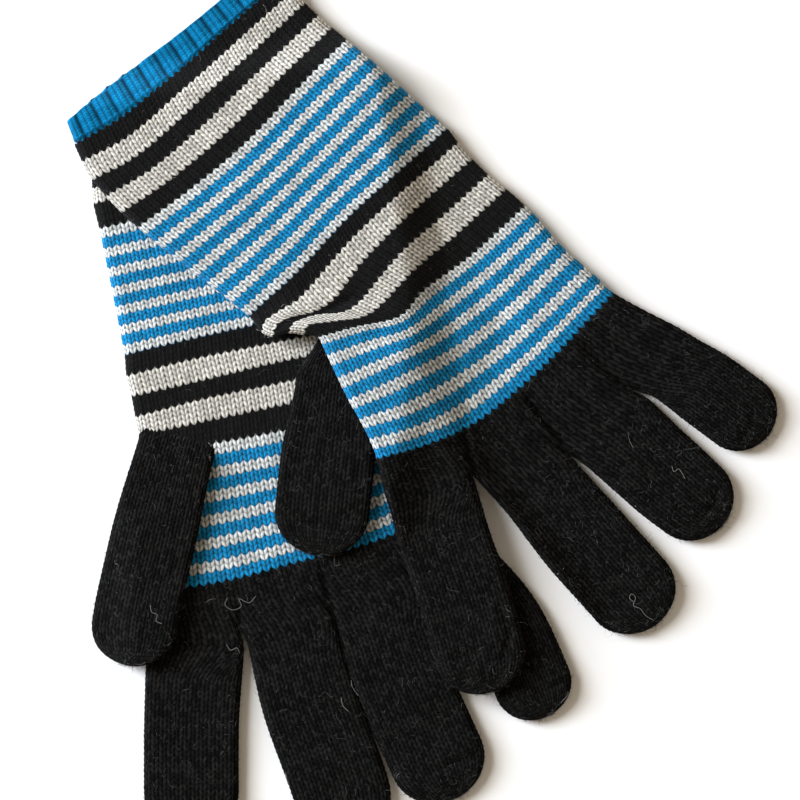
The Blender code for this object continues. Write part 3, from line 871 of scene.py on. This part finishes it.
def striped_material():
    n = Nodes("striped_yarn")
    w = n.math("ADD", n.w, n.math("MULTIPLY", n.math("SUBTRACT", n.noise(2.3, 2.3, 3.0), 0.5), RAGGED))
    leg = n.math("ABSOLUTE", n.math("SINE", n.math("MULTIPLY", n.u, 2.0 * math.pi)))
    w = n.math("SUBTRACT", w, n.math("MULTIPLY", n.math("SUBTRACT", leg, 0.6), SCALLOP))
    thin_first = n.math("GREATER_THAN", w, float(ZONES[1]))
    wide_again = n.math("GREATER_THAN", w, float(ZONES[2]))
    thin_again = n.math("GREATER_THAN", w, float(ZONES[3]))
    thin = n.math("ADD", n.math("SUBTRACT", thin_first, wide_again), thin_again)
    start = n.math("ADD", n.math("MULTIPLY", thin_first, float(ZONES[1])),
                   n.math("MULTIPLY", wide_again, float(ZONES[2] - ZONES[1])))
    start = n.math("ADD", start, n.math("MULTIPLY", thin_again, float(ZONES[3] - ZONES[2])))
    period = n.math("SUBTRACT", 2.0 * WIDE_BAND, n.math("MULTIPLY", thin, 2.0 * (WIDE_BAND - THIN_BAND)))
    start = n.math("ADD", start, n.math("MULTIPLY", thin, BLUE_LATE))
    into = n.math("MAXIMUM", n.math("SUBTRACT", w, start), 0.0)
    phase = n.math("FRACT", n.math("DIVIDE", into, period))
    wide_colours = n.mix(n.math("GREATER_THAN", phase, 0.5), BLACK, OFF_WHITE)
    mottled = n.math("MULTIPLY", n.range(n.noise(3.5, 6.0, 4.0, 0.8), 0.48, 0.75), 0.45)
    blue = n.math("GREATER_THAN", phase, 0.5 - BLUE_LATE / THIN_BAND)
    thin_colours = n.mix(blue, COOL_WHITE, n.mix(mottled, BLUE, PALE_BLUE))
    colour = n.mix(thin, wide_colours, thin_colours)
    # painted shade in the dips between legs and rows, times the yarn's own tone from stitch to stitch
    shade = n.math("MULTIPLY", painted_stitch_shade(n, 2.0, 0.36), yarn_tone(n, 0.62, 1.18))
    colour = n.mix(1.0, colour, grey(n, shade), "MULTIPLY")
    # painted shade in the holes between the legs of a stitch
    colour = n.mix(n.math("MULTIPLY", painted_hole_shade(n, 0.9), 0.8), colour, HOLE_SHADE)
    fibre = n.math("GREATER_THAN", n.u, FIBRE_MARK / 2.0)
    pale = n.math("MULTIPLY", n.range(n.stitch_random(), 0.3, 1.0), 0.55)
    colour = n.mix(n.math("MULTIPLY", fibre, pale), colour, PALE_FIBRE)
    n.bump(n.noise(9.0, 30.0, 3.0), 0.0002, 0.5)
    return yarn_finish(n, colour, 0.05, 0.05)


def black_material():
    n = Nodes("black_yarn")
    # painted shade in the dips between legs and rows, times the yarn's own tone from stitch to stitch
    shade = n.math("MULTIPLY", painted_stitch_shade(n, 2.0, 0.30), yarn_tone(n, 0.30, 1.95, (7.0, 5.0)))
    colour = n.mix(1.0, BLACK, grey(n, shade), "MULTIPLY")
    fuzz = n.range(n.noise(6.0, 7.0, 4.0, 0.8), 0.58, 0.80)
    colour = n.mix(n.math("MULTIPLY", fuzz, 0.40), colour, GREY_FIBRE)
    fibre = n.math("GREATER_THAN", n.u, FIBRE_MARK / 2.0)
    pale = n.math("GREATER_THAN", n.u, FIBRE_MARK * 1.5)
    loose = n.mix(n.range(n.stitch_random(), 0.2, 1.0), BLACK, LOOSE_FIBRE)
    colour = n.mix(fibre, colour, n.mix(pale, loose, PALE_FIBRE))
    n.bump(n.noise(9.0, 26.0, 3.0), 0.0002, 0.6)
    return yarn_finish(n, colour, 0.0, 0.02)


def rib_material():
    n = Nodes("rib_yarn")
    place = n.math("FRACT", n.u)
    groove = n.math("SINE", n.math("MULTIPLY", place, math.pi))
    # painted shade: darker in the grooves between the ribs and in the dips between the fine stitches
    depth = n.range(groove, 0.0, 0.75, 0.48, 1.0)
    shade = n.math("MULTIPLY", n.math("MULTIPLY", depth, painted_stitch_shade(n, 3.0, 0.50)), yarn_tone(n, 0.7, 1.25))
    colour = n.mix(1.0, RIB_BLUE, grey(n, shade), "MULTIPLY")
    n.bump(n.noise(12.0, 12.0, 3.0), 0.0002, 0.6)
    return yarn_finish(n, colour, 0.05, 0.05)


def floor_material():
    material = bpy.data.materials.new("floor_white")
    material.use_nodes = True
    shader = material.node_tree.nodes["Principled BSDF"]
    shader.inputs["Base Color"].default_value = FLOOR_WHITE
    shader.inputs["Roughness"].default_value = 0.8
    return material


# ---------------------------------------------------------------- the gloves

def full_round(thick):
    return lambda v: (thick(v) / 2, thick(v) / 2)


def build_hand(side, rows, ground, materials, creases):
    hand = Hand(rows)
    body = f"{side}_hand"
    cuff = rib_cuff(f"{side}_rib_cuff", hand, ground, materials["blue_rib"])
    finish(cuff, body, f"{side}_cuff")
    parts = (
        ("wrist", 0, PALM_START, "striped_knit"),
        ("palm", PALM_START, KNUCKLE_START, "striped_knit"),
        ("knuckles", KNUCKLE_START, STRIP_START, "black_knit"),
    )
    for name, start, end, slot in parts:
        piece = knit_piece(f"{side}_{name}_knit", hand, ground, (start, end), HAND_WALES, materials[slot],
                           hand.thick, full_round(hand.thick), creases=creases)
        finish(piece, body, f"{side}_{name}")
    return hand


def finish(piece, body, node):
    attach(piece, body)
    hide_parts(node)


def finger_radii(strip, left_inner, right_inner):
    """Corner radii of a finger: square beside another finger at first, round by its crotch."""
    def radii(v):
        full = strip.thick(v) / 2
        grown = full * smooth((v - STRIP_START) / (KNUCKLE_LINE - STRIP_START)) + 0.02
        inner = np.minimum(grown, full)
        return (inner if left_inner else full), (inner if right_inner else full)
    return radii


def finger_breaks(wales, side_wales, left_inner, right_inner):
    """Where round a finger its corners lie: every strip takes the hand's own wales over its top."""
    half = side_wales / 2
    if left_inner and right_inner:
        second = half + STRIP_WALES
        places = (half, second, second + side_wales, second + side_wales + STRIP_WALES)
        return [(place / wales, key) for place, key in zip(places, "abde")]
    if right_inner:
        return [(STRIP_WALES / wales, "b"), ((STRIP_WALES + side_wales) / wales, "d")]
    return [(half / wales, "a"), ((half + 2 * STRIP_WALES) / wales, "e")]


def build_fingers(side, hand, digits, ground, materials, creases):
    for k, name in enumerate(digits):
        left_inner, right_inner = k > 0, k < 3
        digit = Digit(digits[name], KNUCKLE_LINE)
        strip = Strip(hand, digit, FINGER_BOUNDS[k:k + 2])
        inner_sides = left_inner + right_inner
        wales = 2 * STRIP_WALES + SIDE_WALES[name] * inner_sides
        split = KNUCKLE_LINE + round(digits[name]["split"] * digit.length / COURSE) + 0.5
        radii = finger_radii(strip, left_inner, right_inner)
        breaks = finger_breaks(wales, SIDE_WALES[name], left_inner, right_inner)

        for part, span in (("base", (STRIP_START, split)), ("end", (split, digit.end))):
            piece = knit_piece(f"{side}_{name}_{part}_knit", strip, ground, span, wales,
                               materials["black_knit"], strip.thick, radii, breaks=breaks,
                               creases=creases, fade_tip=digit.fade)
            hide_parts(f"{side}_{name}_{part}")
            place_finger(piece, side, name, part, digit, split)


def place_finger(piece, side, name, part, digit, split):
    """Attaches a finger's base to the hand when it stays with it; any other piece is only baked in place, and
    where it would bend is worked out but not used.
    """
    moving_base = side == "left" or name == "middle"
    base_body = f"{side}_{name}" if moving_base else f"{side}_hand"
    if part == "base":
        if not moving_base:
            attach(piece, base_body)
            return
        before, after, run = f"{side}_hand", base_body, 0.0
    else:
        before, after, run = base_body, f"{side}_{name}_tip", (split - KNUCKLE_LINE) * COURSE
    start = blend_place(digit, run + 0.5, FINGER_BEND_HEIGHT)
    end = blend_place(digit, run + BEND_RUN, FINGER_BEND_HEIGHT)
    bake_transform(piece)


def blend_place(digit, run, height):
    """Place in metres at a run along a digit's centre line."""
    x, y = digit.centre(np.array([run]))[0]
    return (x * MM, y * MM, height)


def build_thumb(side, digit_values, ground, materials, creases, start_back, sink):
    """A thumb. It starts back inside its palm, as deep in it as sink says, and rises onto it."""
    digit = Digit(digit_values, 0)

    def thick(v):
        return digit.thick(v, THUMB_THICK)

    def rise(v):
        return -sink * (1.0 - smooth((v * COURSE + start_back) / THUMB_RISE))

    piece = knit_piece(f"{side}_thumb_knit", digit, ground, (-start_back / COURSE, digit.end), THUMB_WALES,
                       materials["black_knit"], thick, full_round(thick), creases=creases,
                       lift=rise, fade_tip=digit.fade)
    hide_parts(f"{side}_thumb")
    start = blend_place(digit, 1.0, THUMB_BEND_HEIGHT)
    end = blend_place(digit, BEND_RUN, THUMB_BEND_HEIGHT)
    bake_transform(piece)


# ---------------------------------------------------------------- stage

def look_at(thing, target):
    way = Vector(target) - thing.location
    thing.rotation_euler = way.to_track_quat("-Z", "Y").to_euler()


def add_light(name, place, size, watts, colour):
    data = bpy.data.lights.new(name, "AREA")
    data.size = size
    data.energy = watts
    data.color = colour
    lamp = bpy.data.objects.new(name, data)
    lamp.location = place
    bpy.context.scene.collection.objects.link(lamp)
    look_at(lamp, (0.0, 0.0, 0.0))


def build_stage():
    mesh = bpy.data.meshes.new("floor")
    far = FLOOR_REACH
    mesh.from_pydata([(-far, -far, 0), (far, -far, 0), (far, far, 0), (-far, far, 0)], [], [(0, 1, 2, 3)])
    mesh.materials.append(floor_material())
    floor = bpy.data.objects.new("floor", mesh)
    floor.location.z = FLOOR_HEIGHT
    bpy.context.scene.collection.objects.link(floor)
    world = bpy.data.worlds.new("studio")
    bpy.context.scene.world = world
    world.use_nodes = True
    world.node_tree.nodes["Background"].inputs["Color"].default_value = SKY_COLOUR
    world.node_tree.nodes["Background"].inputs["Strength"].default_value = SKY_STRENGTH
    for name, place, size, watts, colour in LAMPS:
        add_light(name, place, size, watts, colour)
    camera_data = bpy.data.cameras.new("camera")
    camera_data.sensor_width = SENSOR
    camera_data.lens = SENSOR * CAMERA_HEIGHT / FRAME_WIDTH
    camera = bpy.data.objects.new("camera", camera_data)
    camera.location = (CAMERA_AT[0] * MM, CAMERA_AT[1] * MM, CAMERA_HEIGHT * MM)
    bpy.context.scene.collection.objects.link(camera)
    bpy.context.scene.camera = camera
    bpy.context.scene.view_settings.view_transform = "Standard"


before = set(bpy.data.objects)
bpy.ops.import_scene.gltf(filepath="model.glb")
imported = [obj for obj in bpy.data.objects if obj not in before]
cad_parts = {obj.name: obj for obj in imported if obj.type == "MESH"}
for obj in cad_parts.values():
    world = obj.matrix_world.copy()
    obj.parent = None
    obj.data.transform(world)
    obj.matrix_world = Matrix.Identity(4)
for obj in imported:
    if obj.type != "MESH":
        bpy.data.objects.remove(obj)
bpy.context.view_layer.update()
materials = {"blue_rib": rib_material(), "striped_knit": striped_material(), "black_knit": black_material()}
right = build_hand("right", RIGHT_ROWS, flat_ground, materials, RIGHT_FOLDS)
left = build_hand("left", LEFT_ROWS, on_right_glove, materials, LEFT_FOLDS)
build_fingers("right", right, RIGHT_DIGITS, flat_ground, materials, RIGHT_FOLDS)
build_fingers("left", left, LEFT_DIGITS, on_right_glove, materials, LEFT_FOLDS)
build_thumb("right", RIGHT_THUMB, on_right_palm, materials, RIGHT_FOLDS, start_back=8.8, sink=7.0)
build_thumb("left", LEFT_THUMB, under_left_thumb, materials, LEFT_FOLDS, start_back=4.0, sink=0.0)
build_stage()
